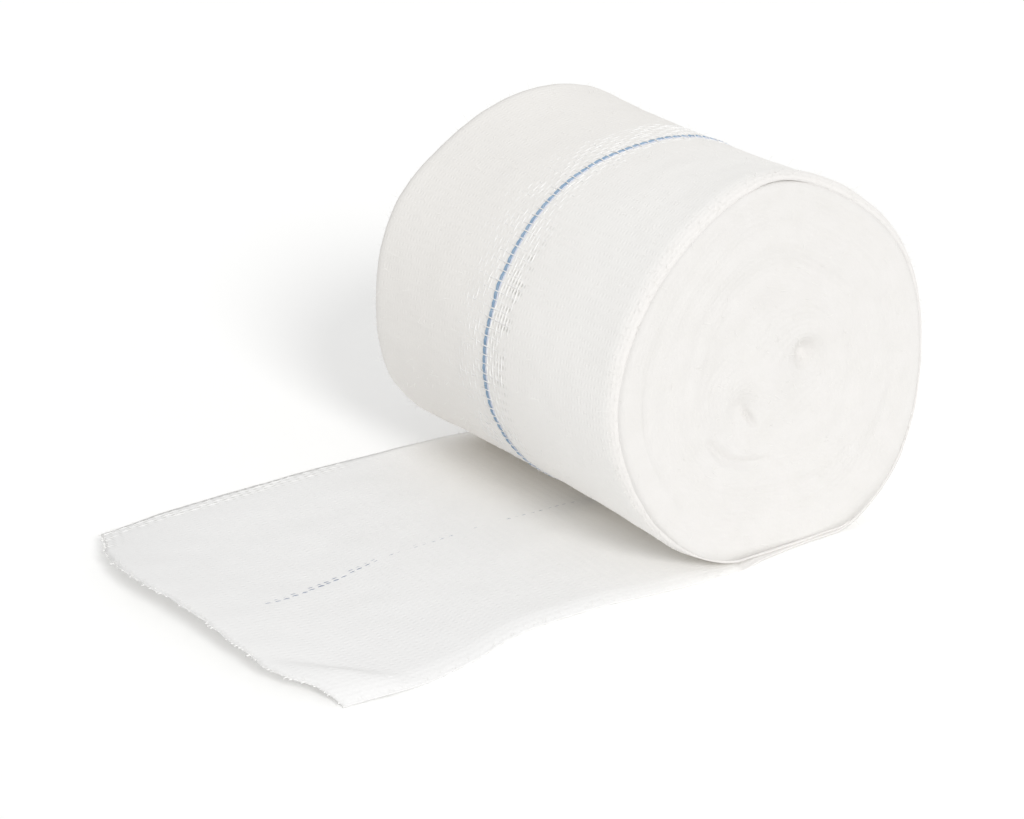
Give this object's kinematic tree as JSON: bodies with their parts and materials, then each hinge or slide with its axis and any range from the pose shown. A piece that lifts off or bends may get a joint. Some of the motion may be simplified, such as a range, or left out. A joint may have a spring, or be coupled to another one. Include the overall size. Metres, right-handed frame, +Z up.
{
  "type": "gauze bandage roll",
  "caption": "Soft white gauze bandage wound into a roll that lies on its side, with its outer end unrolled flat beside it and a blue marker yarn along the cloth.",
  "frame": {"origin": "on the resting surface, in the middle of the roll's width, on the flat spot under the roll", "axes": "+X away from the loose end, +Y along the roll's axis towards its far end, +Z up from the resting surface"},
  "size_m": [0.1316, 0.0808, 0.0679],
  "materials": {
    "gauze": "bleached cotton gauze, soft and matt, with one inlaid blue yarn"
  },
  "bodies": {
    "root": {"wound_roll": "gauze", "loose_end": "gauze"}
  },
  "joints": []
}
